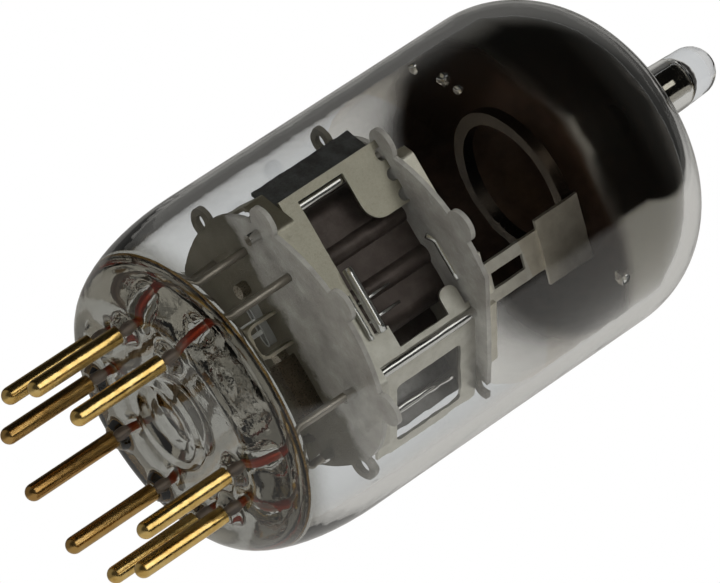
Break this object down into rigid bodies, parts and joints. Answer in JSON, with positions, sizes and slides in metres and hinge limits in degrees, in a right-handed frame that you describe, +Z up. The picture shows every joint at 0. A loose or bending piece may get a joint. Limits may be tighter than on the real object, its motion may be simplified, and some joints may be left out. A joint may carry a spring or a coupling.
{
  "type": "vacuum tube",
  "caption": "Miniature glass vacuum tube with a clear bulb, gold plug-in pins, a dark getter mirror in the dome and sheet-metal electrodes between mica discs.",
  "frame": {"origin": "on the tube's axis, in the plane of the pin ends", "axes": "+Z up the tube's axis from the pins to the exhaust tip, -Y towards the wide gap in the ring of pins, which is the front"},
  "size_m": [0.0204, 0.0204, 0.0478],
  "materials": {
    "anode_black": "blackened nickel",
    "cathode_oxide": "oxide coated nickel",
    "dark_sheet": "dark oxidised nickel sheet",
    "getter_metal": "nickel-plated iron",
    "getter_mirror": "dark getter mirror on the inside of the dome",
    "glass": "clear lead glass, slightly grey",
    "gold_plate": "gold plating, softly polished",
    "grid_wire": "molybdenum rods and wire",
    "heater_wire": "alumina coated tungsten",
    "lead_wire": "nickel wire, copper-red where it passes the glass",
    "mica": "translucent mica sheet",
    "nickel_sheet": "matt nickel sheet",
    "polished_rod": "polished nickel rod"
  },
  "bodies": {
    "root": {"anode_front": "anode_black", "anode_rear": "anode_black", "button_stem": "glass", "cathode_sleeve": "cathode_oxide", "cathode_strap": "nickel_sheet", "front_frame": "nickel_sheet", "getter_arm": "getter_metal", "getter_flash": "getter_mirror", "getter_plate": "getter_metal", "getter_post": "getter_metal", "getter_ring": "getter_metal", "glass_bulb": "glass", "grid": "grid_wire", "grid_strap": "dark_sheet", "heater": "heater_wire", "lead_1": "lead_wire", "lead_2": "lead_wire", "lead_3": "lead_wire", "lead_4": "lead_wire", "lead_5": "lead_wire", "lead_6": "lead_wire", "lead_7": "lead_wire", "lead_8": "lead_wire", "lead_9": "lead_wire", "left_shield": "dark_sheet", "lower_mica": "mica", "lower_tray": "nickel_sheet", "pin_1": "gold_plate", "pin_2": "gold_plate", "pin_3": "gold_plate", "pin_4": "gold_plate", "pin_5": "gold_plate", "pin_6": "gold_plate", "pin_7": "gold_plate", "pin_8": "gold_plate", "pin_9": "gold_plate", "rear_frame": "nickel_sheet", "side_screen": "dark_sheet", "support_rod_1": "polished_rod", "support_rod_2": "polished_rod", "support_rod_3": "polished_rod", "support_rod_4": "polished_rod", "support_rod_5": "polished_rod", "upper_mica": "mica", "upper_tray": "nickel_sheet", "window_plate": "nickel_sheet"}
  },
  "joints": []
}
